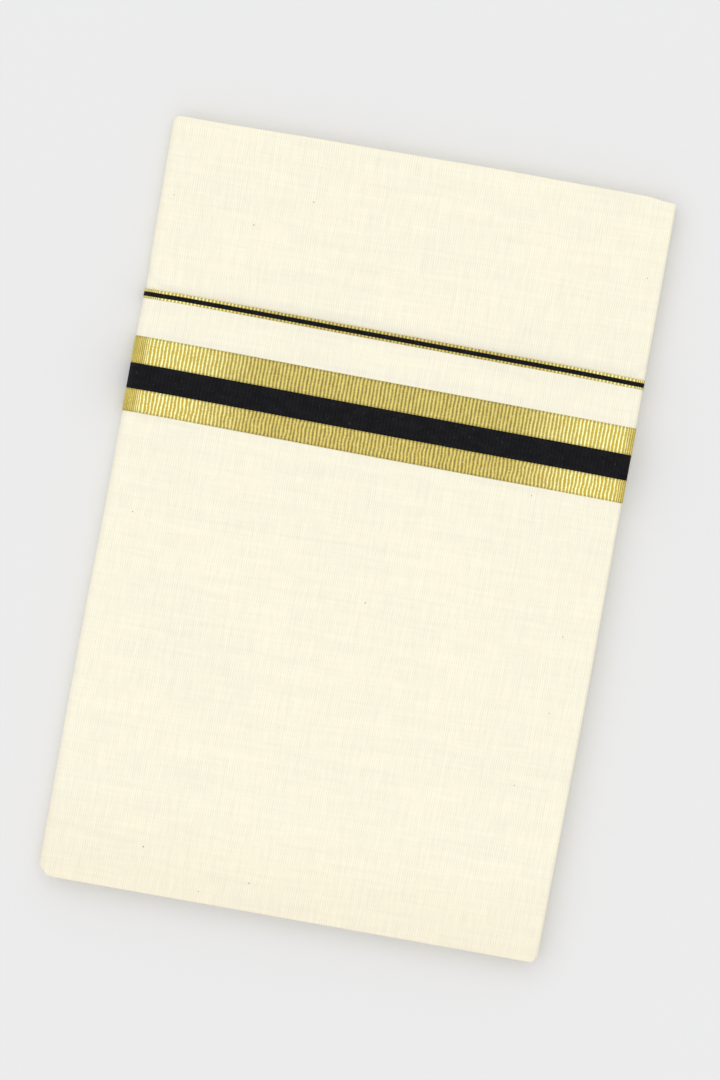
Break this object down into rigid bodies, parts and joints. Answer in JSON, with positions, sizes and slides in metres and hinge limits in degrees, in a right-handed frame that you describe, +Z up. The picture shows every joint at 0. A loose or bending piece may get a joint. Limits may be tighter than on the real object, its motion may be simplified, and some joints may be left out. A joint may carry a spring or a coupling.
{
  "type": "folded dhoti cloth",
  "caption": "Folded, pressed cream cotton dhoti lying flat, its front flap ending in woven gold and black borders.",
  "frame": {"origin": "middle of the underside that the folded bundle rests on", "axes": "+X across the bundle, from the thick left fold to the right edge; +Y from the bottom fold up to the top fold; +Z up out of the surface"},
  "size_m": [0.2538, 0.3854, 0.0163],
  "materials": {
    "cream_cotton": "plain woven cotton, matt, slightly slubby",
    "inner_cotton": "stacked folds of the same plain woven cotton",
    "gold_thread": "ribbed band woven with shiny gold-coloured thread",
    "black_cotton": "ribbed band woven with matt black cotton"
  },
  "bodies": {
    "root": {"front_flap_field": "cream_cotton", "plain_strip_between_borders": "cream_cotton", "panel_behind_flap": "cream_cotton", "hidden_layers": "inner_cotton", "wide_border_lower_gold": "gold_thread", "wide_border_upper_gold": "gold_thread", "thin_border_inner_gold": "gold_thread", "thin_border_outer_gold": "gold_thread", "wide_border_black": "black_cotton", "thin_border_black": "black_cotton"}
  },
  "joints": []
}
